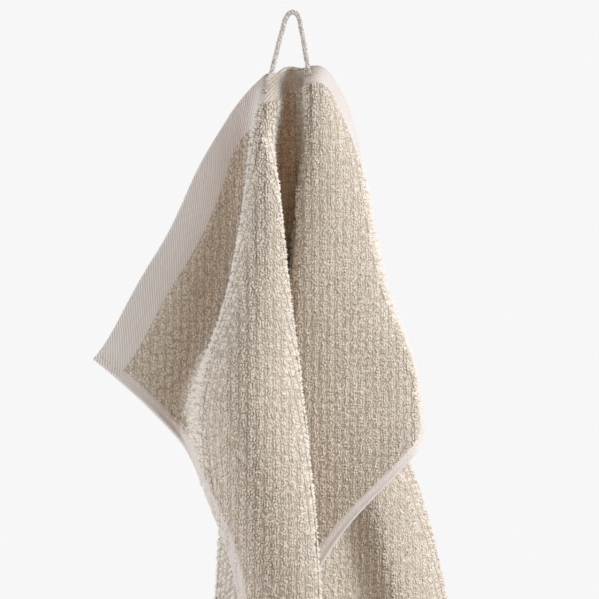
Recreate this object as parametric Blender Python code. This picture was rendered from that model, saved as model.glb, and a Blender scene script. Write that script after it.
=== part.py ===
"""A terry hand towel hung by a cord loop that is sewn to the middle of one short end.

Metres, +Z up, front towards -Y. The origin is the inside of the loop's top, where a hook bears.

The towel is one sheet. It is draped as cloth that hangs from one small gathered place: a point of
the cloth stays at its cloth distance from the apex, a point just above the gather, so at each
distance the sheet is a curve on a sphere round the apex. FOLDS gives that curve in plan, fold by
fold, and the cloth is laid along it at its own width.
"""
import math

import bpy
import numpy as np

MM = 0.001

# The flat towel
WIDTH = 500 * MM
LENGTH = 1000 * MM
HALF = WIDTH / 2
BAND = 20 * MM            # flat-woven band across both short ends
SIDE_HEM = 7 * MM
PILE_THICKNESS = 4.0 * MM
BAND_THICKNESS = 2.2 * MM
STEP = 3 * MM             # the pile falls away to the band over this width

# How it hangs
APEX = np.array([-1.3, 0.0, -16.1]) * MM
APEX_RISE = 22 * MM       # cloth distance from the apex to the middle of the top edge
BIAS_GIVE = 0.05          # loose terry draws out along its bias and narrows across it
GATHER_GIVE = 0.30        # and opens out next to the gather
GATHER_REACH = 30 * MM
BAND_LIFT = 7 * MM        # the loop's ends hold the band up behind the two ridges
BAND_LIFT_AT = 12 * MM
BAND_LIFT_REACH = 35 * MM
BAND_LIFT_DOWN = 27 * MM
# Where the band is drawn up under the cord's ends: across the cloth, how wide, how far, in mm
SLIDES = ((-65, 26, 7), (38, 18, 11))
SHOULDER_RISE = 10 * MM    # the right shoulder stands higher than the left
SHOULDER_AT = 34 * MM
SHOULDER_WIDTH = 24 * MM
SHOULDER_REACH = 40 * MM

# Distance of each section from the apex, and where the pleat's right edge lies in the cloth there
STATIONS = (26, 46, 75, 100, 170, 250, 330, 400, 600, 1040)
ANCHOR = "pleat right"
ANCHOR_DEGREES = (-30, -27.8, -28, -28.2, -29.2, -37.2, -36.1, -30, -19, -10.3)

# One row a fold, from the towel's left side to its right. Roundness is how far the cloth takes to
# turn, in mm. Across (X) and back (Y) are the fold's place from the apex at each station, in mm.
FOLDS = (
    ("left end", 40,
     (-30, -46, -60, -70, -98, -138, -80, -44, -78, -136),
     (6, 2, 0, -2, -8, -22, -46, -38, -36, -10)),
    ("left valley", 30,
     (-18, -21, -24, -26, -36, -70, -59, -36, -70, -130),
     (0, -4, -5, -4, -2, -20, -44, -42, -48, -22)),
    ("pleat left", 30,
     (-16, -20, -25, -27, -37, -54, -44, -26, -60, -118),
     (-1, -9, -17, -22, -40, -58, -64, -58, -58, -44)),
    ("pleat front", 40,
     (-14, -17, -19, -18, -21, -27, -16, -6, -36, -92),
     (-2, -14, -25, -32, -54, -80, -82, -72, -70, -60)),
    ("pleat right", 30,
     (-9, -10, -13.5, -10, -2, 8, 16, 20, -7, -54),
     (0, -12, -20, -27, -42, -56, -62, -58, -58, -50)),
    ("gap left", 40,
     (-5, -6, -9, -13, -24, -36, -47, -51, -74, -64),
     (8, 4, 9, 13, 29, 43, 44, 36, 14, 20)),
    ("back left", 40,
     (-3, -3, -3, -5, -8, -14, -14, -18, -40, -42),
     (10.5, 8, 12, 18.5, 41, 70, 84, 82, 60, 44)),
    ("back dent", 60,
     (0, 0, 1, 2, 7, 12, 22, 26, 2, -20),
     (11, 9, 13, 18.5, 39, 60, 67, 64, 44, 36)),
    ("back right", 40,
     (2, 3, 5, 8, 22, 36, 60, 70, 52, 4),
     (10.5, 8, 12, 18.5, 45, 70, 86, 86, 66, 48)),
    ("gap right", 40,
     (4, 6, 9, 14, 34, 60, 90, 107, 100, 24),
     (8, 4, 8, 15, 38, 60, 65, 60, 36, 30)),
    ("flap ridge", 30,
     (6, 8, 10.5, 12, 26, 42, 60, 74, 72, 30),
     (5.5, -0.5, 2, 8, 20, 29, 32, 24, 2, 2)),
    ("flap valley", 30,
     (8, 9.5, 11, 9.5, 15, 24, 36, 52, 48, 28),
     (3, -5.5, -6, -4, 9, 26, 34, 30, 4, -22)),
    ("right ridge", 30,
     (11, 12, 11.5, 8, 2, 0, -12, -8, 0, 36),
     (0.5, -13, -15, -14, -14, -14, -8, -6, -10, -52)),
    ("right turn", 40,
     (22, 30, 38.5, 44.5, 58.5, 83.3, 73, 36, 50, 78),
     (2, 1, 2, 3, 4, 4, -14, -16, -30, -64)),
    ("right end", 40,
     (27, 35, 43, 48, 60, 76, 126, 100, 108, 106),
     (6, 14, 32, 46, 92, 145, -14, -20, 10, 22)),
)

# The sheet's mesh
COLUMNS = 46              # quads across, the outermost on each side being the side hem
ROWS = 48                 # quads down, the lowest being the lower band
BAND_ROWS = 4             # of which these are in the upper band
ROW_GROWTH = 1.035        # each row of the pile is this much deeper than the one above
TOP_CROWDING = 0.12       # how far the columns crowd to the middle at the top edge
CROWDING_DEPTH = 250 * MM

# The loop
CORD_DIAMETER = 3.5 * MM
CORD_PLIES = 3
PLY_DEPTH = 0.16 * MM     # how far the plies stand out of and sink into the cord's mean surface
PLY_LAY = 9 * MM          # length of one turn of the plies
CORD_SIDES = 9
CORD_STEP = 1.3 * MM      # distance between rings
CORD_GAP = 0.45 * MM      # between the cord and the towel's face
# Where the cord lies on the towel's front, as (u, v) of the cloth, from each end to the top edge
LEFT_SEAM = ((-24.5, 15.5), (-21.7, 10.5), (-18.6, 6), (-15, 1.5))
RIGHT_SEAM = ((22.6, 14), (20.6, 10), (17.6, 4))
# The free cord over the hook, as (X, Y, Z) of its centre line
OVER_HOOK = (
    (-12.6, -5.4, -35.0), (-11.0, -4.4, -28.5), (-8.8, -3.0, -19.4), (-6.3, -1.5, -10.0),
    (-4.3, -0.6, -3.0), (-2.1, -0.2, 0.6), (0.5, 0.0, 1.75), (3.2, -0.2, 0.4),
    (4.9, -0.6, -3.0), (6.2, -1.2, -10.0), (8.0, -2.4, -19.4), (9.4, -3.8, -28.5),
)

TABLE_ROWS = 300
TABLE_COLUMNS = 1200
PANEL_POINTS = 60


def spline(places, values, wanted):
    """A smooth curve through values, which may be rows of numbers, at uneven places."""
    places = np.asarray(places, float)
    values = np.asarray(values, float)
    spans = np.diff(places)
    slopes = (np.diff(values, axis=0).T / spans).T
    tangents = np.empty_like(values)
    weights = spans[1:] + spans[:-1]
    tangents[1:-1] = ((spans[1:] * slopes[:-1].T + spans[:-1] * slopes[1:].T) / weights).T
    tangents[0] = slopes[0]
    tangents[-1] = slopes[-1]
    wanted = np.clip(wanted, places[0], places[-1])
    i = np.clip(np.searchsorted(places, wanted, side="right") - 1, 0, len(spans) - 1)
    shape = (-1,) + (1,) * (values.ndim - 1)
    t = ((wanted - places[i]) / spans[i]).reshape(shape)
    span = spans[i].reshape(shape)
    return hermite(t, values[i], values[i + 1], span * tangents[i], span * tangents[i + 1])


def hermite(t, start, end, start_tangent, end_tangent):
    return ((2 * t**3 - 3 * t**2 + 1) * start + (t**3 - 2 * t**2 + t) * start_tangent
            + (-2 * t**3 + 3 * t**2) * end + (t**3 - t**2) * end_tangent)


def section_curve(corners, roundness):
    """The plan curve through one section's folds, and each fold's place along its points."""
    sides = np.diff(corners, axis=0)
    lengths = np.linalg.norm(sides, axis=1)
    headings = sides / lengths[:, None]
    turns = np.concatenate([headings[:1], headings[:-1] + headings[1:], headings[-1:]])
    turns /= np.linalg.norm(turns, axis=1)[:, None]
    t = np.linspace(0, 1, PANEL_POINTS, endpoint=False)[:, None]
    run_out = np.linspace(0, 1, 40)[1:, None] * WIDTH
    pieces = [corners[0] - headings[0] * run_out[::-1]]
    for i, length in enumerate(lengths):
        leave = min(roundness[i], length) * turns[i]
        arrive = min(roundness[i + 1], length) * turns[i + 1]
        pieces.append(hermite(t, corners[i], corners[i + 1], leave, arrive))
    pieces += [corners[-1:], corners[-1] + headings[-1] * run_out]
    at_fold = [len(run_out) + PANEL_POINTS * i for i in range(len(corners))]
    return np.concatenate(pieces), at_fold


def drape_table():
    """Points of the hung cloth on a grid of apex distance and angle round the apex."""
    stations = np.array(STATIONS) * MM
    folds = np.array([[row[2], row[3]] for row in FOLDS]).transpose(2, 0, 1) * MM
    roundness = np.array([row[1] for row in FOLDS]) * MM
    anchor = [row[0] for row in FOLDS].index(ANCHOR)
    reach = stations[-1] + 40 * MM
    radii = np.concatenate([
        np.linspace(18 * MM, 300 * MM, TABLE_ROWS // 2, endpoint=False),
        np.linspace(300 * MM, reach, TABLE_ROWS // 2)])
    angles = np.radians(np.linspace(-92, 92, TABLE_COLUMNS))
    corners = spline(stations, folds, radii)
    inner = radii < stations[0]
    corners[inner] = folds[0] * (radii[inner] / stations[0])[:, None, None]
    anchor_angles = np.radians(spline(stations, ANCHOR_DEGREES, radii))
    points = np.empty((len(radii), len(angles), 3))
    for k, radius in enumerate(radii):
        curve, at_fold = section_curve(corners[k], roundness)
        rest = np.maximum(radius**2 - (curve**2).sum(axis=1), (0.15 * radius)**2)
        curve = np.column_stack([curve, -np.sqrt(rest)])
        run = np.linalg.norm(np.diff(curve, axis=0), axis=1)
        along = np.concatenate([[0], np.cumsum(run)])
        curve_angles = anchor_angles[k] + (along - along[at_fold[anchor]]) / radius
        for axis in range(3):
            points[k, :, axis] = np.interp(angles, curve_angles, curve[:, axis])
    return radii, angles, points


def hung(table, u, v):
    """Where the cloth point u across and v down the flat towel hangs."""
    radii, angles, points = table
    drawn = sum(far * MM * np.exp(-((u / MM - middle) / wide)**2) for middle, wide, far in SLIDES)
    low = v + APEX_RISE - drawn * np.interp(v, (0, BAND, 6 * BAND), (0, 1, 0))
    distance = np.hypot(u, low)
    angle = np.arctan2(u, low)
    radius = distance * (1 + BIAS_GIVE * np.sin(2 * angle)**2)
    angle = angle - BIAS_GIVE * (angle - np.sin(4 * angle) / 4)
    angle = angle * (1 + GATHER_GIVE * np.exp((APEX_RISE - distance) / GATHER_REACH))
    i = np.clip(np.searchsorted(radii, radius, side="right") - 1, 0, len(radii) - 2)
    a = np.clip((radius - radii[i]) / (radii[i + 1] - radii[i]), 0, 1)[..., None]
    j_real = (angle - angles[0]) / (angles[1] - angles[0])
    j = np.clip(j_real.astype(int), 0, len(angles) - 2)
    b = np.clip(j_real - j, 0, 1)[..., None]
    place = ((points[i, j] * (1 - b) + points[i, j + 1] * b) * (1 - a)
             + (points[i + 1, j] * (1 - b) + points[i + 1, j + 1] * b) * a)
    lift = BAND_LIFT * (v / BAND_LIFT_DOWN) * np.exp(1 - v / BAND_LIFT_DOWN)
    lift = lift * np.exp(-((u - BAND_LIFT_AT) / BAND_LIFT_REACH)**2)
    rise = SHOULDER_RISE * np.exp(-v / SHOULDER_REACH)
    rise = rise * np.exp(-((u - SHOULDER_AT) / SHOULDER_WIDTH)**2)
    place[..., 2] += lift + rise
    return place + APEX


def front_normal(table, u, v):
    """The direction that the towel's front faces at (u, v)."""
    reach = 0.8 * MM
    u_low, u_high = np.clip(u - reach, -HALF, HALF), np.clip(u + reach, -HALF, HALF)
    v_low, v_high = np.clip(v - reach, 0, LENGTH), np.clip(v + reach, 0, LENGTH)
    across = hung(table, u_high, v) - hung(table, u_low, v)
    down = hung(table, u, v_high) - hung(table, u, v_low)
    normal = np.cross(down, across)
    return normal / np.linalg.norm(normal, axis=-1, keepdims=True)


def thickness(v):
    """Full pile, thinner in the flat-woven band at each short end."""
    from_end = np.minimum(v, LENGTH - v)
    share = np.clip((from_end - BAND) / STEP + 0.5, 0, 1)
    return BAND_THICKNESS + (PILE_THICKNESS - BAND_THICKNESS) * share


def sheet_grid():
    """The (u, v) of the sheet's vertices: rows from the top edge down, columns left to right."""
    deepening = ROW_GROWTH ** np.arange(ROWS - BAND_ROWS - 1)
    depths = np.concatenate([[0], np.cumsum(deepening)]) / deepening.sum()
    in_band = np.linspace(0, BAND, BAND_ROWS, endpoint=False)
    rows = np.concatenate([in_band, BAND + (LENGTH - 2 * BAND) * depths, [LENGTH]])
    a = np.linspace(-1, 1, COLUMNS - 1)
    share = np.clip(rows / CROWDING_DEPTH, 0, 1)
    even = TOP_CROWDING + (1 - TOP_CROWDING) * share * share * (3 - 2 * share)
    u = (HALF - SIDE_HEM) * (even[:, None] * a + (1 - even[:, None]) * a * np.abs(a))
    edge = np.full((len(rows), 1), HALF)
    u = np.concatenate([-edge, u, edge], axis=1)
    return u, np.repeat(rows[:, None], u.shape[1], axis=1)


def material(name, colour, roughness):
    made = bpy.data.materials.new(name)
    made.use_nodes = True
    shader = made.node_tree.nodes["Principled BSDF"]
    shader.inputs["Base Color"].default_value = (*colour, 1)
    shader.inputs["Roughness"].default_value = roughness
    shader.inputs["Metallic"].default_value = 0
    return made


def add_object(name, vertices, faces, surface):
    mesh = bpy.data.meshes.new(name)
    mesh.from_pydata(np.asarray(vertices).tolist(), [], faces)
    mesh.shade_smooth()
    mesh.set_sharp_from_angle(angle=math.radians(50))
    mesh.materials.append(surface)
    made = bpy.data.objects.new(name, mesh)
    bpy.context.collection.objects.link(made)
    return made


def splits_falling(table, u, v, middle):
    """For each quad, whether its diagonal from top left to low right lies nearer to the cloth."""
    centre_u = (u[:-1, :-1] + u[:-1, 1:] + u[1:, :-1] + u[1:, 1:]) / 4
    centre_v = (v[:-1, :-1] + v[1:, 1:]) / 2
    cloth = hung(table, centre_u, centre_v)
    falling = np.linalg.norm((middle[:-1, :-1] + middle[1:, 1:]) / 2 - cloth, axis=-1)
    rising = np.linalg.norm((middle[1:, :-1] + middle[:-1, 1:]) / 2 - cloth, axis=-1)
    return falling < rising


def make_towel(table):
    """The sheet as one closed solid: a front, a back and a narrow rim."""
    u, v = sheet_grid()
    middle = hung(table, u, v)
    offset = front_normal(table, u, v) * thickness(v)[..., None] / 2
    vertices = np.concatenate([(middle + offset).reshape(-1, 3), (middle - offset).reshape(-1, 3)])
    index = np.arange(u.size).reshape(u.shape)
    falling = splits_falling(table, u, v, middle)
    front = []
    for i, j in np.ndindex(falling.shape):
        top_left, top_right = index[i, j:j + 2].tolist()
        low_left, low_right = index[i + 1, j:j + 2].tolist()
        if falling[i, j]:
            front += [(top_left, low_left, low_right), (top_left, low_right, top_right)]
        else:
            front += [(top_left, low_left, top_right), (low_left, low_right, top_right)]
    behind = u.size
    faces = front + [(c + behind, b + behind, a + behind) for a, b, c in front]
    rim = np.concatenate([index[0], index[1:, -1], index[-1, -2::-1], index[-2:0:-1, 0]]).tolist()
    for near, far in zip(rim, rim[1:] + rim[:1]):
        faces += [(near, far, far + behind), (near, far + behind, near + behind)]
    return add_object("towel", vertices, faces, material("towel terry", (0.62, 0.53, 0.43), 0.95))


def seam_points(table, seam):
    """The cord's centre line where it is sewn down on the towel's front."""
    u, v = np.array(seam).T * MM
    clear = BAND_THICKNESS / 2 + CORD_GAP + CORD_DIAMETER / 2 + PLY_DEPTH
    return hung(table, u, v) + front_normal(table, u, v) * clear


def smooth_route(points):
    """Evenly spaced points on a smooth curve through the route's own points."""
    points = np.asarray(points)
    chords = np.linalg.norm(np.diff(points, axis=0), axis=1)
    places = np.concatenate([[0], np.cumsum(chords)])
    fine = spline(places, points, np.linspace(0, places[-1], 2000))
    along = np.concatenate([[0], np.cumsum(np.linalg.norm(np.diff(fine, axis=0), axis=1))])
    count = int(round(along[-1] / CORD_STEP)) + 1
    wanted = np.linspace(0, along[-1], count)
    return np.column_stack([np.interp(wanted, along, fine[:, axis]) for axis in range(3)]), wanted


def make_loop(table):
    """The sewn-on loop: a plied cord whose twist is raised in its surface."""
    route = np.concatenate([
        seam_points(table, LEFT_SEAM), np.array(OVER_HOOK) * MM,
        seam_points(table, RIGHT_SEAM[::-1])])
    centres, along = smooth_route(route)
    forward = np.gradient(centres, axis=0)
    forward /= np.linalg.norm(forward, axis=1)[:, None]
    vertices = []
    side = np.cross(forward[0], (0, 1, 0))
    for centre, ahead, distance in zip(centres, forward, along):
        side = side - ahead * np.dot(side, ahead)
        side /= np.linalg.norm(side)
        up = np.cross(ahead, side)
        lay = 2 * math.pi * distance / PLY_LAY
        for k in range(CORD_SIDES):
            angle = 2 * math.pi * k / CORD_SIDES
            radius = CORD_DIAMETER / 2 + PLY_DEPTH * math.cos(CORD_PLIES * angle - lay)
            vertices.append(centre + radius * (math.cos(angle) * side + math.sin(angle) * up))
    rings = len(centres)
    first = tuple(reversed(range(CORD_SIDES)))
    last = tuple(range((rings - 1) * CORD_SIDES, rings * CORD_SIDES))
    faces = [first, last]
    for ring in range(rings - 1):
        for k in range(CORD_SIDES):
            near = ring * CORD_SIDES + k
            far = ring * CORD_SIDES + (k + 1) % CORD_SIDES
            faces.append((near, far, far + CORD_SIDES, near + CORD_SIDES))
    surface = material("loop cord", (0.68, 0.62, 0.55), 0.85)
    return add_object("hanging_loop", vertices, faces, surface)


def main():
    for old in list(bpy.data.objects):
        bpy.data.objects.remove(old, do_unlink=True)
    table = drape_table()
    make_towel(table)
    make_loop(table)


main()
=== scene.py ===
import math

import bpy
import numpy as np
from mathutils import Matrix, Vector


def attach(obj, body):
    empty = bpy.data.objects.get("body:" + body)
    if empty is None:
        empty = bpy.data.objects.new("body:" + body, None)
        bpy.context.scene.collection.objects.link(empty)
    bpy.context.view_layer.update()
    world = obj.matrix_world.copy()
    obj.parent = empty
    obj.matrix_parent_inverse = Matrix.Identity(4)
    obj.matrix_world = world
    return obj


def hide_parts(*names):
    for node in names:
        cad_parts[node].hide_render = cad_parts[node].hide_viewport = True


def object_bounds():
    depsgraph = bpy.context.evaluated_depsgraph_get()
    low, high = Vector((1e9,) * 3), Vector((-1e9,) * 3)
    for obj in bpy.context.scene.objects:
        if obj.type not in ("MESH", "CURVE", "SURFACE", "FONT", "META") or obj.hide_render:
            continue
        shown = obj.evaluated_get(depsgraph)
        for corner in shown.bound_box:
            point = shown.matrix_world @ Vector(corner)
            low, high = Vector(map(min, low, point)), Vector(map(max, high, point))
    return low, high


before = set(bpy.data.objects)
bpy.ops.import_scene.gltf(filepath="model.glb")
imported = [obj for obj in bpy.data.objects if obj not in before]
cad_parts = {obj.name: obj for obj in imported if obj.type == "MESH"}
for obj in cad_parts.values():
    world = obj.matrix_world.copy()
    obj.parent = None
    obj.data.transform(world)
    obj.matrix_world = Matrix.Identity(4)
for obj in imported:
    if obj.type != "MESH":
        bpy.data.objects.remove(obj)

# A beige terry hand towel that hangs from a braided cord loop.
#
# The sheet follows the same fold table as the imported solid. Its ground is one thin closed sheet
# with flat-woven end bands and turned side hems. On both its faces stands the pile: small blocks
# of loops in upright columns and level rows, joined into one mesh for each region of the cloth.
# Metres, +Z up, front towards -Y, the origin inside the top of the loop. u runs across the flat
# towel from its middle and v down it from the end that hangs, both in metres.

MM = 0.001
CAD_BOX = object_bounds()

# The flat towel
WIDTH = 500 * MM
LENGTH = 1000 * MM
HALF = WIDTH / 2
BAND = 20 * MM
SIDE_HEM = 7 * MM

# How it hangs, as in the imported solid
APEX = np.array([-1.3, 0.0, -16.1]) * MM
APEX_RISE = 22 * MM
BIAS_GIVE = 0.05
GATHER_GIVE = 0.30
GATHER_REACH = 30 * MM
BAND_LIFT = 7 * MM
BAND_LIFT_AT = 12 * MM
BAND_LIFT_REACH = 35 * MM
BAND_LIFT_DOWN = 27 * MM
# Where the band is drawn up under the cord's ends: across the cloth, how wide, how far, in mm
SLIDES = ((-65, 26, 7), (38, 18, 11))
SHOULDER_RISE = 10 * MM
SHOULDER_AT = 34 * MM
SHOULDER_WIDTH = 24 * MM
SHOULDER_REACH = 40 * MM

# Distance of each section from the apex, and where the pleat's right edge lies in the cloth there
STATIONS = (26, 46, 75, 100, 170, 250, 330, 400, 600, 1040)
ANCHOR = "pleat right"
ANCHOR_DEGREES = (-30, -27.8, -28, -28.2, -29.2, -37.2, -36.1, -30, -19, -10.3)

# One row a fold, from the towel's left side to its right. Roundness is how far the cloth takes to
# turn, in mm. Across (X) and back (Y) are the fold's place from the apex at each station, in mm.
FOLDS = (
    ("left end", 40,
     (-30, -46, -60, -70, -98, -138, -80, -44, -78, -136),
     (6, 2, 0, -2, -8, -22, -46, -38, -36, -10)),
    ("left valley", 30,
     (-18, -21, -24, -26, -36, -70, -59, -36, -70, -130),
     (0, -4, -5, -4, -2, -20, -44, -42, -48, -22)),
    ("pleat left", 30,
     (-16, -20, -25, -27, -37, -54, -44, -26, -60, -118),
     (-1, -9, -17, -22, -40, -58, -64, -58, -58, -44)),
    ("pleat front", 40,
     (-14, -17, -19, -18, -21, -27, -16, -6, -36, -92),
     (-2, -14, -25, -32, -54, -80, -82, -72, -70, -60)),
    ("pleat right", 30,
     (-9, -10, -13.5, -10, -2, 8, 16, 20, -7, -54),
     (0, -12, -20, -27, -42, -56, -62, -58, -58, -50)),
    ("gap left", 40,
     (-5, -6, -9, -13, -24, -36, -47, -51, -74, -64),
     (8, 4, 9, 13, 29, 43, 44, 36, 14, 20)),
    ("back left", 40,
     (-3, -3, -3, -5, -8, -14, -14, -18, -40, -42),
     (10.5, 8, 12, 18.5, 41, 70, 84, 82, 60, 44)),
    ("back dent", 60,
     (0, 0, 1, 2, 7, 12, 22, 26, 2, -20),
     (11, 9, 13, 18.5, 39, 60, 67, 64, 44, 36)),
    ("back right", 40,
     (2, 3, 5, 8, 22, 36, 60, 70, 52, 4),
     (10.5, 8, 12, 18.5, 45, 70, 86, 86, 66, 48)),
    ("gap right", 40,
     (4, 6, 9, 14, 34, 60, 90, 107, 100, 24),
     (8, 4, 8, 15, 38, 60, 65, 60, 36, 30)),
    ("flap ridge", 30,
     (6, 8, 10.5, 12, 26, 42, 60, 74, 72, 30),
     (5.5, -0.5, 2, 8, 20, 29, 32, 24, 2, 2)),
    ("flap valley", 30,
     (8, 9.5, 11, 9.5, 15, 24, 36, 52, 48, 28),
     (3, -5.5, -6, -4, 9, 26, 34, 30, 4, -22)),
    ("right ridge", 30,
     (11, 12, 11.5, 8, 2, 0, -12, -8, 0, 36),
     (0.5, -13, -15, -14, -14, -14, -8, -6, -10, -52)),
    ("right turn", 40,
     (22, 30, 38.5, 44.5, 58.5, 83.3, 73, 36, 50, 78),
     (2, 1, 2, 3, 4, 4, -14, -16, -30, -64)),
    ("right end", 40,
     (27, 35, 43, 48, 60, 76, 126, 100, 108, 106),
     (6, 14, 32, 46, 92, 145, -14, -20, 10, 22)),
)
# The table of hung points, by distance from the apex and angle round it
TABLE_ROWS = 300
TABLE_COLUMNS = 1200
TABLE_START = 18 * MM
TABLE_FINE_TO = 300 * MM
TABLE_PAST_END = 40 * MM
TABLE_DEGREES = 92
PANEL_POINTS = 60
RUN_OUT_POINTS = 40
LEAST_FALL = 0.15         # of the distance, where a section would reach past its sphere
TANGENT_REACH = 0.8 * MM

# The ground sheet. Half thickness in mm by distance in mm from a side edge and from an end.
HEM_SECTION = ((0, 1.42), (1.2, 1.42), (1.8, 1.3), (2.5, 1.0), (4.2, 1.0), (5.0, 1.28),
               (5.8, 1.34), (6.5, 1.1), (7.1, 0.8))
END_SECTION = ((0, 1.3), (1.4, 1.25), (2.6, 1.0), (18.2, 1.0), (19.3, 1.22), (20.4, 0.9), (21.2, 0.8))
EDGE_ROUND = ((0, 0.5), (0.35, 0.95), (0.8, 1.3), (1.3, 1.6))
# The sheet's vertex lines from a side edge and from an end, in mm, and where the even ones begin
HEM_COLUMNS = (0, 0.35, 0.8, 1.3, 1.9, 2.5, 3.4, 4.3, 5.0, 5.8, 6.5)
END_ROWS = (0, 0.35, 0.8, 1.4, 2.0, 2.8, 5, 8, 11, 14, 16, 18.2, 19.3, 20.4)
INNER_COLUMNS_FROM = 7.1 * MM
INNER_ROWS_FROM = 21.4 * MM
SHEET_COLUMNS = 100
SHEET_ROWS = 128
ROW_GROWTH = 1.012
TOP_CROWDING = 0.12
CROWDING_DEPTH = 250 * MM

# The pile: blocks of loops where upright columns and level rows cross on the hung cloth
REPEAT_ACROSS = 5.1 * MM
REPEAT_DOWN = 4.5 * MM
SEARCH_STEP = 1.0 * MM
SEARCH_MARGIN = 2 * MM
LEAST_FACING = 0.5        # how far a steep face may stretch its blocks, at the most
NEAREST_MISS = 0.12       # squared, in repeats: how far a crossing may lie from a search point
ROOT_LEVEL = 0.65 * MM    # from the sheet's middle, inside the ground
LOOP_TOP = 2.4 * MM
FINE_LOOP = (1.7 * MM, 2.3 * MM)    # width and length of a loop
COARSE_LOOP = (2.9 * MM, 3.3 * MM)
FINE_DEPTH = 430 * MM     # above this the loops that show are finer
MIDDLE_REGION = 80 * MM   # half the width of the front's middle mesh
PILE_FROM_BAND = 0.8 * MM
# The strip left bare at the left edge, near the corner and from further down
LEFT_BARE = (4.6 * MM, 0.9 * MM)
LEFT_BARE_AT = (80 * MM, 125 * MM)
# How unevenly the pile lies: blocks down and across, then loops across and down
BLOCK_SAG = 0.5 * MM
BLOCK_SWAY = 0.28 * MM
LOOP_SHIFT_ACROSS = 0.28 * MM
LOOP_SHIFT_DOWN = 0.4 * MM
LOOP_LEAN_ACROSS = 0.25 * MM
LOOP_DROOP = 0.4 * MM
LOOP_DROOP_SPREAD = 0.3 * MM
LOOP_TURN = 0.3           # radians
BLOCK_TONE = 0.3          # the block's share of a loop's tone, the rest being its own
# Factors near 1: deviation, least and most
BLOCK_HEIGHTS = (0.08, 0.8, 1.2)
LOOP_SIZES = (0.13, 0.7, 1.35)
LOOP_LENGTHS = (0.12, 0.7, 1.3)
LOOP_HEIGHTS = (0.11, 0.7, 1.3)
RIM_WOBBLE = 0.1
# A block's loops: across, down and share of the full height, in mm
NINE_LOOPS = [(across, down, 1.24 - 0.3 * abs(across) - 0.17 * abs(down))
              for across in (-1.45, 0, 1.45) for down in (-1.4, 0, 1.4)]
THREE_LOOPS = ((0, 0, 1.1), (1.1, 1.3, 0.85), (-1.1, -1.3, 0.85))

# Hem stitching
STITCH_FROM_EDGE = 4.5 * MM
STITCH_PITCH = 2.9 * MM
STITCH_LENGTH = 2.1 * MM
STITCH_RADIUS = 0.33 * MM
STITCH_MARGIN = 4 * MM
STITCH_SHIFT = 0.12 * MM  # how unevenly they lie, down and aside
STITCH_TILT = 0.06
STITCH_SHOULDER = 0.45    # where a stitch is thickest, as a share of its half length
STITCH_END_SINK = 0.2 * MM
STITCH_SIDE_SINK = 0.1 * MM

# The ribs of the flat weave, and the size of a thread's dark specks
BAND_RIB_PITCH = 1.67 * MM
BAND_RIB_DEGREES = 36
HEM_RIB_PITCH = 0.9 * MM
SPECK_SIZE = 0.45 * MM
VALLEY_SHADE_REACH = (20 * MM, 31 * MM)    # from the band's middle: painted shade in full, and none past this

# The loop: a round braid
CORD_DIAMETER = 3.5 * MM
BRAID_LAY = 10.5 * MM
STRAND_RADIUS = 0.62 * MM
STRANDS_EACH_WAY = 4
BRAID_WAVE = 0.2 * MM
CORE_RADIUS = CORD_DIAMETER / 2 - 1.6 * STRAND_RADIUS
CORE_SIDES = 8
STRAND_SIDES = 6
ROUTE_POINTS = 2000
CORD_STEP = 0.55 * MM     # between rings
CORD_GAP = 0.45 * MM
SEAM_HALF_THICKNESS = 1.1 * MM
CORD_OFF_SHEET = SEAM_HALF_THICKNESS + CORD_GAP + CORD_DIAMETER / 2    # its centre line
TACKS_EACH_END = 6
TACK_RADIUS = 0.26 * MM
TACK_REACH = CORD_DIAMETER / 2 + 0.25 * MM
TACK_FOOT = 1.9 * MM      # how far its feet go down, into the band
TACK_SLANT = 0.25
TACK_ARCH_PAST = 0.15     # radians that the arch goes on past half a turn, at each end
TACK_ARCH_POINTS = 13
LEFT_SEAM = ((-24.5, 15.5), (-21.7, 10.5), (-18.6, 6), (-15, 1.5))
RIGHT_SEAM = ((22.6, 14), (20.6, 10), (17.6, 4))
OVER_HOOK = (
    (-12.6, -5.4, -35.0), (-11.0, -4.4, -28.5), (-8.8, -3.0, -19.4), (-6.3, -1.5, -10.0),
    (-4.3, -0.6, -3.0), (-2.1, -0.2, 0.6), (0.5, 0.0, 1.75), (3.2, -0.2, 0.4),
    (4.9, -0.6, -3.0), (6.2, -1.2, -10.0), (8.0, -2.4, -19.4), (9.4, -3.8, -28.5),
)

# The photo's view
CAMERA_AT = (5.0 * MM, -1.67, -190.6 * MM)
LENS_MM = 150
SENSOR_MM = 36
CAMERA_RANGE = (0.05, 50)

LIGHT_DISTANCE = 2.5
LIGHT_AIM_Z = -0.3
# Name, azimuth from the front towards +X and elevation in degrees, width in metres, watts, colour
LIGHTS = (
    ("right_side", 80, 25, 1.4, 53, (1.0, 0.92, 0.93)),
    ("right_front", 48, 25, 1.5, 33, (0.83, 0.95, 1.0)),
    ("left_front", -35, 25, 1.6, 10, (0.92, 0.97, 1.0)),
    ("left_side", -80, 0, 1.8, 48, (0.91, 0.94, 1.0)),
    ("front_fill", 3, 0, 0.8, 8, (1.0, 0.5, 0.22)),
    ("back_fill", 180, 20, 1.5, 40, (1.0, 0.97, 0.93)),
)
# What the camera sees round the towel, and what lights it from all round
BACKDROP = (0.93, 0.93, 0.93)
AROUND = (1.0, 0.6, 0.4)
AROUND_STRENGTH = 0.04
FLOOR_RADIUS = 1.4
FLOOR_BELOW = 60 * MM
FLOOR_SIDES = 64

rng = np.random.default_rng(11)


# ---------------------------------------------------------------- the hung sheet

def hermite(t, start, end, start_tangent, end_tangent):
    return ((2 * t**3 - 3 * t**2 + 1) * start + (t**3 - 2 * t**2 + t) * start_tangent
            + (-2 * t**3 + 3 * t**2) * end + (t**3 - t**2) * end_tangent)


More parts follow.
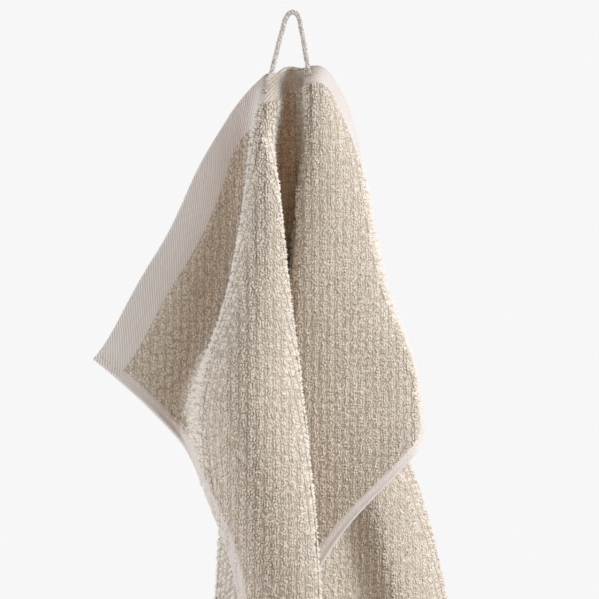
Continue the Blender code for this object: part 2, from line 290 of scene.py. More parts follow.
def spline(places, values, wanted):
    """A smooth curve through values, which may be rows of numbers, at uneven places."""
    places = np.asarray(places, float)
    values = np.asarray(values, float)
    spans = np.diff(places)
    slopes = (np.diff(values, axis=0).T / spans).T
    tangents = np.empty_like(values)
    weights = spans[1:] + spans[:-1]
    tangents[1:-1] = ((spans[1:] * slopes[:-1].T + spans[:-1] * slopes[1:].T) / weights).T
    tangents[0] = slopes[0]
    tangents[-1] = slopes[-1]
    wanted = np.clip(wanted, places[0], places[-1])
    i = np.clip(np.searchsorted(places, wanted, side="right") - 1, 0, len(spans) - 1)
    shape = (-1,) + (1,) * (values.ndim - 1)
    t = ((wanted - places[i]) / spans[i]).reshape(shape)
    span = spans[i].reshape(shape)
    return hermite(t, values[i], values[i + 1], span * tangents[i], span * tangents[i + 1])


def section_curve(corners, roundness):
    """The plan curve through one section's folds, and each fold's place along its points."""
    sides = np.diff(corners, axis=0)
    lengths = np.linalg.norm(sides, axis=1)
    headings = sides / lengths[:, None]
    turns = np.concatenate([headings[:1], headings[:-1] + headings[1:], headings[-1:]])
    turns /= np.linalg.norm(turns, axis=1)[:, None]
    t = np.linspace(0, 1, PANEL_POINTS, endpoint=False)[:, None]
    run_out = np.linspace(0, 1, RUN_OUT_POINTS)[1:, None] * WIDTH
    pieces = [corners[0] - headings[0] * run_out[::-1]]
    for i, length in enumerate(lengths):
        leave = min(roundness[i], length) * turns[i]
        arrive = min(roundness[i + 1], length) * turns[i + 1]
        pieces.append(hermite(t, corners[i], corners[i + 1], leave, arrive))
    pieces += [corners[-1:], corners[-1] + headings[-1] * run_out]
    at_fold = [len(run_out) + PANEL_POINTS * i for i in range(len(corners))]
    return np.concatenate(pieces), at_fold


def drape_table():
    """Points of the hung cloth on a grid of apex distance and angle round the apex."""
    stations = np.array(STATIONS) * MM
    folds = np.array([[row[2], row[3]] for row in FOLDS]).transpose(2, 0, 1) * MM
    roundness = np.array([row[1] for row in FOLDS]) * MM
    anchor = [row[0] for row in FOLDS].index(ANCHOR)
    reach = stations[-1] + TABLE_PAST_END
    radii = np.concatenate([
        np.linspace(TABLE_START, TABLE_FINE_TO, TABLE_ROWS // 2, endpoint=False),
        np.linspace(TABLE_FINE_TO, reach, TABLE_ROWS // 2)])
    angles = np.radians(np.linspace(-TABLE_DEGREES, TABLE_DEGREES, TABLE_COLUMNS))
    corners = spline(stations, folds, radii)
    inner = radii < stations[0]
    corners[inner] = folds[0] * (radii[inner] / stations[0])[:, None, None]
    anchor_angles = np.radians(spline(stations, ANCHOR_DEGREES, radii))
    points = np.empty((len(radii), len(angles), 3))
    for k, radius in enumerate(radii):
        curve, at_fold = section_curve(corners[k], roundness)
        rest = np.maximum(radius**2 - (curve**2).sum(axis=1), (LEAST_FALL * radius)**2)
        curve = np.column_stack([curve, -np.sqrt(rest)])
        run = np.linalg.norm(np.diff(curve, axis=0), axis=1)
        along = np.concatenate([[0], np.cumsum(run)])
        curve_angles = anchor_angles[k] + (along - along[at_fold[anchor]]) / radius
        for axis in range(3):
            points[k, :, axis] = np.interp(angles, curve_angles, curve[:, axis])
    return radii, angles, points


TABLE = drape_table()


def hung(u, v):
    """Where the cloth point u across and v down the flat towel hangs."""
    radii, angles, points = TABLE
    drawn = sum(far * MM * np.exp(-((u / MM - middle) / wide)**2) for middle, wide, far in SLIDES)
    low = v + APEX_RISE - drawn * np.interp(v, (0, BAND, 6 * BAND), (0, 1, 0))
    distance = np.hypot(u, low)
    angle = np.arctan2(u, low)
    radius = distance * (1 + BIAS_GIVE * np.sin(2 * angle)**2)
    angle = angle - BIAS_GIVE * (angle - np.sin(4 * angle) / 4)
    angle = angle * (1 + GATHER_GIVE * np.exp((APEX_RISE - distance) / GATHER_REACH))
    i = np.clip(np.searchsorted(radii, radius, side="right") - 1, 0, len(radii) - 2)
    a = np.clip((radius - radii[i]) / (radii[i + 1] - radii[i]), 0, 1)[..., None]
    j_real = (angle - angles[0]) / (angles[1] - angles[0])
    j = np.clip(j_real.astype(int), 0, len(angles) - 2)
    b = np.clip(j_real - j, 0, 1)[..., None]
    place = ((points[i, j] * (1 - b) + points[i, j + 1] * b) * (1 - a)
             + (points[i + 1, j] * (1 - b) + points[i + 1, j + 1] * b) * a)
    lift = BAND_LIFT * (v / BAND_LIFT_DOWN) * np.exp(1 - v / BAND_LIFT_DOWN)
    lift = lift * np.exp(-((u - BAND_LIFT_AT) / BAND_LIFT_REACH)**2)
    rise = SHOULDER_RISE * np.exp(-v / SHOULDER_REACH)
    rise = rise * np.exp(-((u - SHOULDER_AT) / SHOULDER_WIDTH)**2)
    place[..., 2] += lift + rise
    return place + APEX


def local_frame(u, v):
    """The hung point, its tangents per metre of cloth across and down, and its front normal."""
    u_low = np.clip(u - TANGENT_REACH, -HALF, HALF)
    u_high = np.clip(u + TANGENT_REACH, -HALF, HALF)
    v_low = np.clip(v - TANGENT_REACH, 0, LENGTH)
    v_high = np.clip(v + TANGENT_REACH, 0, LENGTH)
    across = (hung(u_high, v) - hung(u_low, v)) / (u_high - u_low)[..., None]
    down = (hung(u, v_high) - hung(u, v_low)) / (v_high - v_low)[..., None]
    normal = np.cross(down, across)
    normal /= np.linalg.norm(normal, axis=-1, keepdims=True)
    return hung(u, v), across, down, normal


def profile(table, distance):
    """Half thickness in metres, read from a section given in mm."""
    at, half = np.array(table).T
    return np.interp(distance / MM, at, half) * MM


def half_thickness(u, v):
    from_side = HALF - np.abs(u)
    from_end = np.minimum(v, LENGTH - v)
    body = np.maximum(profile(HEM_SECTION, from_side), profile(END_SECTION, from_end))
    return np.minimum(body, profile(EDGE_ROUND, np.minimum(from_side, from_end)))


# ---------------------------------------------------------------- meshes

def add_mesh(name, vertices, faces, materials, face_materials=None):
    """A smooth-shaded mesh object from arrays of points and of faces with equally many corners."""
    vertices = np.ascontiguousarray(vertices, dtype=np.float32)
    faces = np.ascontiguousarray(faces, dtype=np.int32)
    count, corners = faces.shape
    mesh = bpy.data.meshes.new(name)
    mesh.vertices.add(len(vertices))
    mesh.vertices.foreach_set("co", vertices.ravel())
    mesh.loops.add(faces.size)
    mesh.loops.foreach_set("vertex_index", faces.ravel())
    mesh.polygons.add(count)
    mesh.polygons.foreach_set("loop_start", np.arange(count, dtype=np.int32) * corners)
    mesh.polygons.foreach_set("loop_total", np.full(count, corners, dtype=np.int32))
    if face_materials is not None:
        mesh.polygons.foreach_set("material_index", np.asarray(face_materials, dtype=np.int32))
    mesh.polygons.foreach_set("use_smooth", np.full(count, True))
    mesh.update(calc_edges=True)
    for surface in materials:
        mesh.materials.append(surface)
    piece = bpy.data.objects.new(name, mesh)
    bpy.context.collection.objects.link(piece)
    return piece


def point_values(piece, name, kind, values):
    attribute = piece.data.attributes.new(name, kind, "POINT")
    field = "vector" if kind == "FLOAT_VECTOR" else "value"
    attribute.data.foreach_set(field, np.ascontiguousarray(values, dtype=np.float32).ravel())


def sheet_lines():
    """The (u, v) of the ground sheet's vertices, rows from the top edge down."""
    ends = np.array(END_ROWS) * MM
    deepening = ROW_GROWTH ** np.arange(SHEET_ROWS)
    depths = np.concatenate([[0], np.cumsum(deepening)]) / deepening.sum()
    inner = INNER_ROWS_FROM + (LENGTH - 2 * INNER_ROWS_FROM) * depths
    rows = np.concatenate([ends, inner, LENGTH - ends[::-1]])
    a = np.linspace(-1, 1, SHEET_COLUMNS + 1)
    share = np.clip(rows / CROWDING_DEPTH, 0, 1)
    even = TOP_CROWDING + (1 - TOP_CROWDING) * share * share * (3 - 2 * share)
    even = even[:, None]
    middle = (HALF - INNER_COLUMNS_FROM) * (even * a + (1 - even) * a * np.abs(a))
    side = HALF - np.array(HEM_COLUMNS) * MM
    side = np.repeat(side[None], len(rows), axis=0)
    u = np.concatenate([-side, middle, side[:, ::-1]], axis=1)
    return u, np.repeat(rows[:, None], u.shape[1], axis=1)


def make_sheet(ground, band, hem):
    u, v = sheet_lines()
    middle, _, _, normal = local_frame(u, v)
    offset = normal * half_thickness(u, v)[..., None]
    vertices = np.concatenate([(middle + offset).reshape(-1, 3), (middle - offset).reshape(-1, 3)])
    index = np.arange(u.size).reshape(u.shape)
    front = np.stack([index[:-1, :-1], index[1:, :-1], index[1:, 1:], index[:-1, 1:]], axis=-1)
    front = front.reshape(-1, 4)
    rim = np.concatenate([index[0], index[1:, -1], index[-1, -2::-1], index[-2:0:-1, 0]])
    after = np.roll(rim, -1)
    behind = u.size
    edge = np.stack([rim, after, after + behind, rim + behind], axis=-1)
    faces = np.concatenate([front, front[:, ::-1] + behind, edge])
    at_u = np.concatenate([u.ravel(), u.ravel()])[faces].mean(axis=1)
    at_v = np.concatenate([v.ravel(), v.ravel()])[faces].mean(axis=1)
    in_band = (at_v < BAND) | (at_v > LENGTH - BAND)
    in_hem = np.abs(at_u) > HALF - SIDE_HEM
    kind = np.where(in_band, 1, np.where(in_hem, 2, 0))
    piece = add_mesh("towel_ground", vertices, faces, (ground, band, hem), face_materials=kind)
    cloth = np.stack([u, v, np.zeros_like(u)], axis=-1).reshape(-1, 3)
    point_values(piece, "cloth", "FLOAT_VECTOR", np.concatenate([cloth, cloth]))
    return piece


def block_places(side):
    """Where upright and level lines cross on the hung cloth, as the nearest search points.

    Gives each one's u, v, whether the cloth faces sideways there, and what is left to the crossing
    across and down. A line is a plane of equal X, or of equal Y where the cloth faces sideways.
    """
    side_reach = HALF + SEARCH_MARGIN
    first = BAND - SEARCH_MARGIN
    u, v = np.meshgrid(np.arange(-side_reach, side_reach, SEARCH_STEP),
                       np.arange(first, LENGTH - BAND + SEARCH_MARGIN, SEARCH_STEP))
    middle = hung(np.clip(u, -HALF, HALF), v)
    across = np.gradient(middle, axis=1)
    down = np.gradient(middle, axis=0)
    normal = np.cross(down, across)
    turned = np.abs(normal[..., 0]) > np.abs(normal[..., 1])
    line = np.where(turned, middle[..., 1], middle[..., 0]) / REPEAT_ACROSS + 0.5 * (side < 0)
    level = middle[..., 2] / REPEAT_DOWN
    miss = (line - np.round(line))**2 + (level - np.round(level))**2
    inner = miss[1:-1, 1:-1]
    tall, wide = inner.shape
    lowest = (inner < NEAREST_MISS) & (np.abs(u[1:-1, 1:-1]) < HALF)
    for i in range(3):
        for j in range(3):
            lowest &= inner <= miss[i:i + tall, j:j + wide]
    off_line = (np.round(line) - line) * REPEAT_ACROSS
    off_level = (np.round(level) - level) * REPEAT_DOWN
    return [grid[1:-1, 1:-1][lowest] for grid in (u, v, turned, off_line, off_level)]


PLACES = {side: block_places(side) for side in (1, -1)}


def on_pile(u, v, across, down, step):
    """Whether each step from its block's place ends on the pile, clear of the hems and bands."""
    aa, dd, ad = (across**2).sum(1), (down**2).sum(1), (across * down).sum(1)
    sa, sd = np.einsum("ijk,ik->ij", step, across), np.einsum("ijk,ik->ij", step, down)
    det = (aa * dd - ad**2)[:, None]
    at_u = u[:, None] + (sa * dd[:, None] - sd * ad[:, None]) / det
    at_v = v[:, None] + (sd * aa[:, None] - sa * ad[:, None]) / det
    first = BAND + PILE_FROM_BAND
    left_bare = np.interp(at_v, LEFT_BARE_AT, LEFT_BARE)
    inside = (at_v > first) & (at_v < LENGTH - first)
    return inside & (at_u < HALF - SIDE_HEM) & (at_u > left_bare - HALF)


def near_one(spread, shape):
    """Random factors with the given deviation, least and most."""
    return rng.normal(1, spread[0], shape).clip(spread[1], spread[2])


def make_pile(name, side, u_span, v_span, ring, loops, loop_size, surface):
    """One joined mesh of loops on one face of the towel, in one oblong of the flat cloth.

    side is 1 on the front. Each loop is a cone on a ring of root points, loop_size its root's
    width and length.
    """
    at_u, at_v = PLACES[side][:2]
    chosen = (at_u >= u_span[0]) & (at_u < u_span[1]) & (at_v >= v_span[0]) & (at_v < v_span[1])
    u, v, turned, off_line, off_level = (row[chosen] for row in PLACES[side])
    loops = np.array(loops)
    shape = (len(u), len(loops))
    middle, across, down, normal = local_frame(u, v)
    droop = np.array([0, 0, -1.0]) + normal * normal[:, 2:]
    droop /= np.linalg.norm(droop, axis=1, keepdims=True)
    beside = np.cross(normal, droop)
    facing = np.where(turned, beside[:, 1], beside[:, 0])
    facing = np.where(np.abs(facing) < LEAST_FACING, np.copysign(LEAST_FACING, facing), facing)
    sag = rng.normal(0, BLOCK_SAG, len(u))
    sway = rng.normal(0, BLOCK_SWAY, len(u))
    aside = (sway + off_line / facing)[:, None] + loops[:, 0] * MM / np.abs(facing)[:, None]
    below = (sag - off_level)[:, None] + loops[:, 1] * MM
    aside = aside + rng.normal(0, LOOP_SHIFT_ACROSS, shape)
    below = below + rng.normal(0, LOOP_SHIFT_DOWN, shape)
    step = aside[..., None] * beside[:, None] + below[..., None] * droop[:, None]
    inside = on_pile(u, v, across, down, step)
    at = (middle[:, None] + step)[inside]
    normal, droop, beside = (np.repeat(rows[:, None], len(loops), axis=1)[inside]
                             for rows in (normal * side, droop, beside))
    height = (loops[None, :, 2] * near_one(BLOCK_HEIGHTS, (len(u), 1)))[inside]
    tone = BLOCK_TONE * rng.uniform(0, 1, (len(u), 1))
    tone = (tone + (1 - BLOCK_TONE) * rng.uniform(0, 1, shape))[inside]
    count = len(at)
    turn = rng.normal(0, LOOP_TURN, count)
    size = near_one(LOOP_SIZES, count)
    width = loop_size[0] / 2 * size
    length = loop_size[1] / 2 * size * near_one(LOOP_LENGTHS, count)
    tall = height * near_one(LOOP_HEIGHTS, count)
    root = at + normal * ROOT_LEVEL
    long_way = droop * np.cos(turn)[:, None] + beside * np.sin(turn)[:, None]
    wide_way = beside * np.cos(turn)[:, None] - droop * np.sin(turn)[:, None]
    angle = (np.arange(ring) + 0.5) * 2 * math.pi / ring
    wobble = rng.normal(1, RIM_WOBBLE, (count, ring))
    rim = (root[:, None]
           + long_way[:, None] * (length[:, None] * np.cos(angle) * wobble)[..., None]
           + wide_way[:, None] * (width[:, None] * np.sin(angle) * wobble)[..., None])
    top = root + normal * ((LOOP_TOP - ROOT_LEVEL) * tall)[:, None]
    lean = beside * rng.normal(0, LOOP_LEAN_ACROSS, (count, 1))
    lean = lean + droop * rng.normal(LOOP_DROOP, LOOP_DROOP_SPREAD, (count, 1))
    vertices = np.concatenate([rim, (top + lean)[:, None]], axis=1)
    per_loop = ring + 1
    pattern = np.array([(k, (k + 1) % ring, ring) for k in range(ring)])
    faces = pattern[None] + (np.arange(count) * per_loop)[:, None, None]
    inward = np.einsum("ij,ij->i", np.cross(long_way, wide_way), normal) < 0
    faces[inward] = faces[inward][:, :, ::-1]
    piece = add_mesh(name, vertices.reshape(-1, 3), faces.reshape(-1, 3), (surface,))
    # rise is each point's height on its loop; the pile material turns it into painted shade at the
    # roots and on lower loops
    rise = np.concatenate([np.zeros((count, ring)), tall[:, None]], axis=1)
    point_values(piece, "rise", "FLOAT", rise.ravel())
    point_values(piece, "shade", "FLOAT", np.repeat(tone, per_loop))
    return piece


def make_stitches(name, surface):
    """The side hems' stitching, on both faces: short spindles of thread."""
    run = np.arange(STITCH_MARGIN, LENGTH - STITCH_MARGIN, STITCH_PITCH)
    groups = [(side_u, face) for side_u in (-1, 1) for face in (1, -1)]
    u = np.concatenate([np.full(len(run), s * (HALF - STITCH_FROM_EDGE)) for s, _ in groups])
    v = np.concatenate([run + rng.normal(0, STITCH_SHIFT, len(run)) for _ in groups])
    face = np.concatenate([np.full(len(run), f) for _, f in groups])
    middle, _, down, normal = local_frame(u, v)
    normal = normal * face[:, None]
    base = middle + normal * half_thickness(u, v)[:, None]
    down = down / np.linalg.norm(down, axis=1, keepdims=True)
    beside = np.cross(normal, down)
    ahead = down + beside * rng.normal(0, STITCH_TILT, (len(u), 1))
    half = STITCH_LENGTH / 2
    end_sink = normal * STITCH_END_SINK
    side_sink = normal * STITCH_SIDE_SINK
    parts = [base - ahead * half - end_sink]
    for along in (-STITCH_SHOULDER, STITCH_SHOULDER):
        parts += [base + ahead * half * along + beside * STITCH_RADIUS - side_sink,
                  base + ahead * half * along + normal * STITCH_RADIUS,
                  base + ahead * half * along - beside * STITCH_RADIUS - side_sink]
    parts.append(base + ahead * half - end_sink)
    vertices = np.stack(parts, axis=1)
    pattern = np.array([
        (0, 2, 1), (0, 3, 2), (0, 1, 3), (1, 2, 5), (1, 5, 4), (2, 3, 6), (2, 6, 5),
        (3, 1, 4), (3, 4, 6), (7, 4, 5), (7, 5, 6), (7, 6, 4)])
    faces = pattern[None] + (np.arange(len(u)) * 8)[:, None, None]
    return add_mesh(name, vertices.reshape(-1, 3), faces.reshape(-1, 3), (surface,))


# ---------------------------------------------------------------- the loop

def seam_points(seam):
    u, v = np.array(seam).T * MM
    middle, _, _, normal = local_frame(u, v)
    return middle + normal * CORD_OFF_SHEET


def cord_route(step):
    """Evenly spaced centre points of the cord and their distances along it."""
    route = np.concatenate([
        seam_points(LEFT_SEAM), np.array(OVER_HOOK) * MM, seam_points(RIGHT_SEAM[::-1])])
    chords = np.linalg.norm(np.diff(route, axis=0), axis=1)
    places = np.concatenate([[0], np.cumsum(chords)])
    fine = spline(places, route, np.linspace(0, places[-1], ROUTE_POINTS))
    along = np.concatenate([[0], np.cumsum(np.linalg.norm(np.diff(fine, axis=0), axis=1))])
    count = int(round(along[-1] / step)) + 1
    wanted = np.linspace(0, along[-1], count)
    centres = np.column_stack([np.interp(wanted, along, fine[:, axis]) for axis in range(3)])
    return centres, wanted


def carried_frames(centres):
    """Directions aside and up along a line, with no twist of their own."""
    ahead = np.gradient(centres, axis=0)
    ahead /= np.linalg.norm(ahead, axis=1)[:, None]
    aside = np.empty_like(ahead)
    side = np.cross(ahead[0], (0, 1, 0))
    for i, forward in enumerate(ahead):
        side = side - forward * np.dot(side, forward)
        side /= np.linalg.norm(side)
        aside[i] = side
    return aside, np.cross(ahead, aside)


def tube(centres, radius, sides):
    """Vertices and triangles of one closed round tube."""
    aside, up = carried_frames(centres)
    angle = (np.arange(sides) * 2 * math.pi / sides)[None, :, None]
    rings = centres[:, None] + (np.cos(angle) * aside[:, None] + np.sin(angle) * up[:, None]) * radius
    vertices = np.concatenate([rings.reshape(-1, 3), centres[:1], centres[-1:]])
    last = len(centres) - 1
    k = np.arange(sides)
    after = (k + 1) % sides
    first_end = np.full(sides, len(vertices) - 2)
    caps = [np.stack([first_end, after, k], axis=-1),
            np.stack([first_end + 1, last * sides + k, last * sides + after], axis=-1)]
    i = np.arange(last)[:, None] * sides
    one = np.stack([i + k, i + after, i + after + sides], axis=-1).reshape(-1, 3)
    two = np.stack([i + k, i + after + sides, i + k + sides], axis=-1).reshape(-1, 3)
    return vertices, np.concatenate([*caps, one, two])


def join(parts):
    """One list of vertices and faces from several."""
    vertices, faces, start = [], [], 0
    for points, corners in parts:
        vertices.append(points)
        faces.append(corners + start)
        start += len(points)
    return np.concatenate(vertices), np.concatenate(faces)


def make_cord(surface):
    """The braid: strands wound both ways, over and under each other, round a core."""
    centres, along = cord_route(CORD_STEP)
    aside, up = carried_frames(centres)
    mean = CORD_DIAMETER / 2 - STRAND_RADIUS - BRAID_WAVE / 2
    parts = [tube(centres, CORE_RADIUS, CORE_SIDES)]
    turn = 2 * math.pi * along / BRAID_LAY
    for way in (1, -1):
        for strand in range(STRANDS_EACH_WAY):
            angle = way * turn + strand * 2 * math.pi / STRANDS_EACH_WAY
            radius = mean + way * BRAID_WAVE * np.cos(STRANDS_EACH_WAY * turn)
            line = centres + radius[:, None] * (
                np.cos(angle)[:, None] * aside + np.sin(angle)[:, None] * up)
            parts.append(tube(line, STRAND_RADIUS, STRAND_SIDES))
    vertices, faces = join(parts)
    return add_mesh("loop_braid", vertices, faces, (surface,))


def make_tacks(surface):
    """Threads that hold the loop's two ends down on the band."""
    parts = []
    for seam, first, last in ((LEFT_SEAM, 0.15, 1.0), (RIGHT_SEAM, 0.1, 0.95)):
        u0, v0 = np.array(seam[0]) * MM
        u1, v1 = np.array(seam[1]) * MM
        for share in np.linspace(first, last, TACKS_EACH_END):
            u = np.array([u0 + (u1 - u0) * share])
            v = np.array([v0 + (v1 - v0) * share])
            middle, across, down, normal = (row[0] for row in local_frame(u, v))
            across = across / np.linalg.norm(across)
            base = middle + normal * CORD_OFF_SHEET
            slant = rng.normal(0, TACK_SLANT)
            angle = np.linspace(-TACK_ARCH_PAST, math.pi + TACK_ARCH_PAST, TACK_ARCH_POINTS)[:, None]
            arch = base + (across * np.cos(angle) + normal * np.sin(angle)) * TACK_REACH
            arch = arch + down * np.cos(angle) * slant * MM
            feet = arch[[0, -1]] - normal * TACK_FOOT
            line = np.concatenate([feet[:1], arch, feet[1:]])
            parts.append(tube(line, TACK_RADIUS, STRAND_SIDES))
    vertices, faces = join(parts)
    return add_mesh("loop_tacks", vertices, faces, (surface,))


# ---------------------------------------------------------------- materials

class Nodes:
    """Short calls for building a material's node tree."""

    def __init__(self, name, roughness, sheen=0.0, sheen_tint=(1, 1, 1)):
        self.material = bpy.data.materials.new(name)
        self.material.use_nodes = True
        self.tree = self.material.node_tree
        self.shader = self.tree.nodes["Principled BSDF"]
        self.set(self.shader, "Roughness", roughness)
        self.set(self.shader, "Specular IOR Level", 0.25)
        self.set(self.shader, "Sheen Weight", sheen)
        self.set(self.shader, "Sheen Roughness", 0.5)
        self.set(self.shader, "Sheen Tint", (*sheen_tint, 1))

    def set(self, node, socket, value):
        node.inputs[socket].default_value = value

    def link(self, output, node, socket):
        self.tree.links.new(output, node.inputs[socket])

    def attribute(self, name, output):
        node = self.tree.nodes.new("ShaderNodeAttribute")
        node.attribute_name = name
        return node.outputs[output]

    def place(self):
        return self.tree.nodes.new("ShaderNodeTexCoord").outputs["Object"]

    def noise(self, vector, scale, detail=2.0, roughness=0.5):
        node = self.tree.nodes.new("ShaderNodeTexNoise")
        self.link(vector, node, "Vector")
        self.set(node, "Scale", scale)
        self.set(node, "Detail", detail)
        self.set(node, "Roughness", roughness)
        return node.outputs["Fac"]

    def math(self, operation, *values):
        node = self.tree.nodes.new("ShaderNodeMath")
        node.operation = operation
        for socket, value in enumerate(values):
            if isinstance(value, (int, float)):
                node.inputs[socket].default_value = value
            else:
                self.link(value, node, socket)
        return node.outputs[0]

    def remap(self, value, low, high, to_low, to_high):
        node = self.tree.nodes.new("ShaderNodeMapRange")
        self.link(value, node, "Value")
        self.set(node, "From Min", low)
        self.set(node, "From Max", high)
        self.set(node, "To Min", to_low)
        self.set(node, "To Max", to_high)
        return node.outputs[0]

    def mix(self, share, first, second, blend="MIX"):
        node = self.tree.nodes.new("ShaderNodeMix")
        node.data_type = "RGBA"
        node.blend_type = blend
        if isinstance(share, (int, float)):
            node.inputs[0].default_value = share
        else:
            self.tree.links.new(share, node.inputs[0])
        for socket, value in ((6, first), (7, second)):
            if isinstance(value, tuple):
                node.inputs[socket].default_value = (*value, 1)
            else:
                self.tree.links.new(value, node.inputs[socket])
        return node.outputs[2]

    def shaded(self, colour, share):
        """The colour darkened or lightened by a number that may vary over the surface."""
        node = self.tree.nodes.new("ShaderNodeCombineColor")
        for socket in range(3):
            self.tree.links.new(share, node.inputs[socket])
        return self.mix(1.0, colour, node.outputs[0], "MULTIPLY")

    def ribs(self, pitch, degrees):
        """Evenly spaced ribs in the flat cloth, 0 between them and 1 on them."""
        split = self.flat_place()
        turn = math.radians(degrees)
        across = self.math("MULTIPLY", split[0], math.sin(turn) * 2 * math.pi / pitch)
        down = self.math("MULTIPLY", split[1], math.cos(turn) * 2 * math.pi / pitch)
        wave = self.math("SINE", self.math("ADD", across, down))
        return self.remap(wave, -1, 1, 0, 1)

    def flat_place(self):
        """Outputs with u and v, the place in the flat cloth."""
        split = self.tree.nodes.new("ShaderNodeSeparateXYZ")
        self.link(self.attribute("cloth", "Vector"), split, "Vector")
        return split.outputs

    def bump(self, height, distance, strength):
        node = self.tree.nodes.new("ShaderNodeBump")
        self.link(height, node, "Height")
        self.set(node, "Distance", distance)
        self.set(node, "Strength", strength)
        return node.outputs[0]

    def done(self, colour, normal):
        self.link(colour, self.shader, "Base Color")
        self.link(normal, self.shader, "Normal")
        return self.material


def pile_material():
    """Loops in pale cotton, with painted shade that darkens them towards the root and on the lower
    loops, no two quite alike.
    """
    n = Nodes("terry_pile", 0.95, sheen=0.25, sheen_tint=(1.0, 0.95, 0.88))
    place = n.place()
    rise = n.attribute("rise", "Fac")
    shade = n.attribute("shade", "Fac")
    # Painted shade: darker from each loop's top down to its root, and on lower loops, where shade
    # falls between the loops
    colour = n.mix(n.remap(rise, 0.02, 0.2, 0, 1), (0.29, 0.25, 0.195), (0.68, 0.63, 0.545))
    colour = n.mix(n.remap(rise, 0.15, 0.95, 0, 1), colour, (0.885, 0.845, 0.77))
    loops = n.remap(shade, 0.1, 0.9, 0.92, 1.06)
    patches = n.remap(n.noise(place, 18, 3), 0.3, 0.7, 0.96, 1.04)
    colour = n.shaded(colour, n.math("MULTIPLY", loops, patches))
    fibres = n.noise(place, 1500, 3, 0.65)
    return n.done(colour, n.bump(fibres, 0.25 * MM, 0.7))


def ground_material():
    """The cloth under the pile, lumpy with the roots of loops, coloured darker than the loops and
    darkest between the lumps as painted shade.
    """
    n = Nodes("terry_ground", 0.95, sheen=0.2, sheen_tint=(1.0, 0.95, 0.88))
    stretch = n.tree.nodes.new("ShaderNodeMapping")
    n.link(n.attribute("cloth", "Vector"), stretch, "Vector")
    n.set(stretch, "Scale", (1.0, 0.62, 1.0))
    cells = n.tree.nodes.new("ShaderNodeTexVoronoi")
    n.link(stretch.outputs[0], cells, "Vector")
    n.set(cells, "Scale", 1 / (2.1 * MM))
    lump = n.remap(cells.outputs["Distance"], 0.1, 0.75, 1, 0)
    fibres = n.noise(n.place(), 1300, 3, 0.6)
    height = n.math("MULTIPLY_ADD", fibres, 0.35, lump)
    # Painted shade: the ground is darker than the loops and darkest between its lumps, where shade
    # falls under the pile
    colour = n.mix(lump, (0.44, 0.385, 0.315), (0.66, 0.605, 0.53))
    return n.done(colour, n.bump(height, 0.9 * MM, 0.9))


def band_material():
    """Twill ribs, and painted shade mottled with dark specks in the middle, where the cord gathers
    the band into a deep fold.
    """
    n = Nodes("flat_woven_band", 0.85, sheen=0.15, sheen_tint=(1.0, 0.95, 0.92))
    place = n.place()
    rib = n.ribs(BAND_RIB_PITCH, BAND_RIB_DEGREES)
    thread = n.noise(place, 1600, 2, 0.6)
    height = n.math("MULTIPLY_ADD", thread, 0.35, rib)
    colour = n.mix(rib, (0.60, 0.565, 0.535), (0.83, 0.795, 0.765))
    # Painted shade, mottled with dark specks, in the band's middle, where the cord gathers it into a
    # deep fold
    specks = n.remap(n.noise(place, 700, 2, 0.6), 0.35, 0.65, 0, 1)
    valley_shade = n.mix(specks, (0.46, 0.405, 0.34), (0.69, 0.625, 0.545))
    from_middle = n.math("ABSOLUTE", n.flat_place()[0])
    colour = n.mix(n.remap(from_middle, *VALLEY_SHADE_REACH, 0.85, 0), colour, valley_shade)
    colour = n.shaded(colour, n.remap(n.noise(place, 25, 3), 0.3, 0.7, 0.97, 1.03))
    return n.done(colour, n.bump(height, 0.35 * MM, 0.8))


def hem_material():
    """Flat weave with fine ribs across the hem."""
    n = Nodes("turned_hem", 0.85, sheen=0.15, sheen_tint=(1.0, 0.95, 0.92))
    rib = n.ribs(HEM_RIB_PITCH, 0)
    thread = n.noise(n.place(), 1600, 2, 0.6)
    height = n.math("MULTIPLY_ADD", thread, 0.6, rib)
    colour = n.mix(thread, (0.60, 0.58, 0.555), (0.80, 0.77, 0.74))
    return n.done(colour, n.bump(height, 0.18 * MM, 0.6))


def thread_material(name, dark, light):
    """Spun cotton with dark specks."""
    n = Nodes(name, 0.8, sheen=0.15, sheen_tint=(1.0, 0.96, 0.92))
    specks = n.remap(n.noise(n.place(), 1 / (3 * SPECK_SIZE), 2, 0.6), 0.4, 0.58, 0, 1)
    fibres = n.noise(n.place(), 2200, 2, 0.6)
    return n.done(n.mix(specks, dark, light), n.bump(fibres, 0.15 * MM, 0.5))


def floor_material():
    n = Nodes("floor_white", 0.9)
    n.set(n.shader, "Base Color", (0.86, 0.86, 0.86, 1))
    return n.material


# ---------------------------------------------------------------- the view

def set_camera():
    data = bpy.data.cameras.new("photo_camera")
    data.lens = LENS_MM
    data.sensor_width = SENSOR_MM
    data.sensor_fit = "HORIZONTAL"
    data.clip_start, data.clip_end = CAMERA_RANGE
    camera = bpy.data.objects.new("photo_camera", data)
    camera.location = CAMERA_AT
    camera.rotation_euler = (math.pi / 2, 0, 0)
    bpy.context.collection.objects.link(camera)
    bpy.context.scene.camera = camera


def area_light(name, azimuth, elevation, size, power, colour):
    """A round soft light aimed at the towel. Azimuth is in degrees from the front towards +X."""
    data = bpy.data.lights.new(name, "AREA")
    data.shape = "DISK"
    data.size = size
    data.energy = power
    data.color = colour
    light = bpy.data.objects.new(name, data)
    around, up = math.radians(azimuth), math.radians(elevation)
    light.location = (LIGHT_DISTANCE * math.sin(around) * math.cos(up),
                      -LIGHT_DISTANCE * math.cos(around) * math.cos(up),
                      LIGHT_AIM_Z + LIGHT_DISTANCE * math.sin(up))
    light.rotation_euler = (math.pi / 2 - up, 0, around)
    bpy.context.collection.objects.link(light)


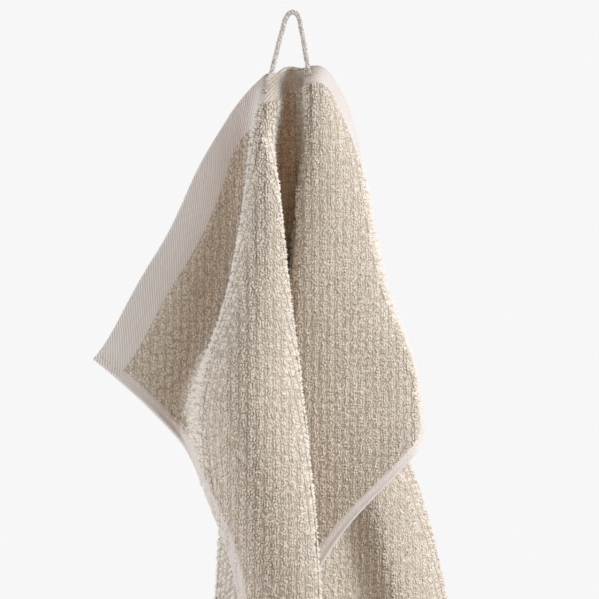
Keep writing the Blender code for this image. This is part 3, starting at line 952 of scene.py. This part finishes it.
def set_light():
    bpy.context.scene.view_settings.view_transform = "Standard"
    world = bpy.data.worlds.new("studio")
    bpy.context.scene.world = world
    world.use_nodes = True
    tree = world.node_tree
    backdrop = tree.nodes["Background"]
    backdrop.inputs["Color"].default_value = (*BACKDROP, 1)
    around = tree.nodes.new("ShaderNodeBackground")
    around.inputs["Color"].default_value = (*AROUND, 1)
    around.inputs["Strength"].default_value = AROUND_STRENGTH
    seen = tree.nodes.new("ShaderNodeLightPath")
    choose = tree.nodes.new("ShaderNodeMixShader")
    tree.links.new(seen.outputs["Is Camera Ray"], choose.inputs[0])
    tree.links.new(around.outputs[0], choose.inputs[1])
    tree.links.new(backdrop.outputs[0], choose.inputs[2])
    tree.links.new(choose.outputs[0], tree.nodes["World Output"].inputs["Surface"])
    for light in LIGHTS:
        area_light(*light)


def set_floor():
    angle = np.linspace(0, 2 * math.pi, FLOOR_SIDES, endpoint=False)
    rim = np.column_stack([np.cos(angle), np.sin(angle), np.zeros(FLOOR_SIDES)]) * FLOOR_RADIUS
    level = CAD_BOX[0][2] - FLOOR_BELOW
    vertices = np.concatenate([rim, np.zeros((1, 3))]) + np.array([0, 0, level])
    k = np.arange(FLOOR_SIDES)
    faces = np.stack([k, (k + 1) % FLOOR_SIDES, np.full(FLOOR_SIDES, FLOOR_SIDES)], axis=-1)
    floor = add_mesh("studio_floor", vertices, faces, (floor_material(),))


# ---------------------------------------------------------------- the towel

def main():
    set_camera()
    pile = pile_material()
    sheet = make_sheet(ground_material(), band_material(), hem_material())
    fine, coarse = (NINE_LOOPS, FINE_LOOP, pile), (THREE_LOOPS, COARSE_LOOP, pile)
    left, right, top = (-HALF, -MIDDLE_REGION), (MIDDLE_REGION, HALF), (0, FINE_DEPTH)
    piles = [
        make_pile("pile_front_left", 1, left, top, 5, *fine),
        make_pile("pile_front_middle", 1, (-MIDDLE_REGION, MIDDLE_REGION), top, 5, *fine),
        make_pile("pile_front_right", 1, right, top, 5, *fine),
        make_pile("pile_front_lower", 1, (-HALF, HALF), (FINE_DEPTH, LENGTH), 4, *coarse),
        make_pile("pile_back_left", -1, (-HALF, 0), (0, LENGTH), 4, *coarse),
        make_pile("pile_back_fold", -1, (0, HALF), top, 4, *fine),
        make_pile("pile_back_right", -1, (0, HALF), (FINE_DEPTH, LENGTH), 4, *coarse),
    ]
    hem_thread = thread_material("hem_thread", (0.60, 0.54, 0.47), (0.76, 0.70, 0.63))
    stitches = make_stitches("hem_stitches", hem_thread)
    braid = make_cord(thread_material("cord_cotton", (0.42, 0.395, 0.37), (0.74, 0.71, 0.67)))
    tacks = make_tacks(thread_material("tack_thread", (0.34, 0.30, 0.25), (0.70, 0.64, 0.56)))
    for piece in (sheet, *piles, stitches):
        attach(piece, "root")
    for piece in (braid, tacks):
        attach(piece, "root")
    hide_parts("towel")
    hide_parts("hanging_loop")
    total = 0
    for piece in (sheet, *piles, stitches, braid, tacks):
        piece.data.calc_loop_triangles()
        count = len(piece.data.loop_triangles)
        total += count
        print("triangles", piece.name, count)
    print("triangles in all", total)
    set_floor()
    set_light()


main()
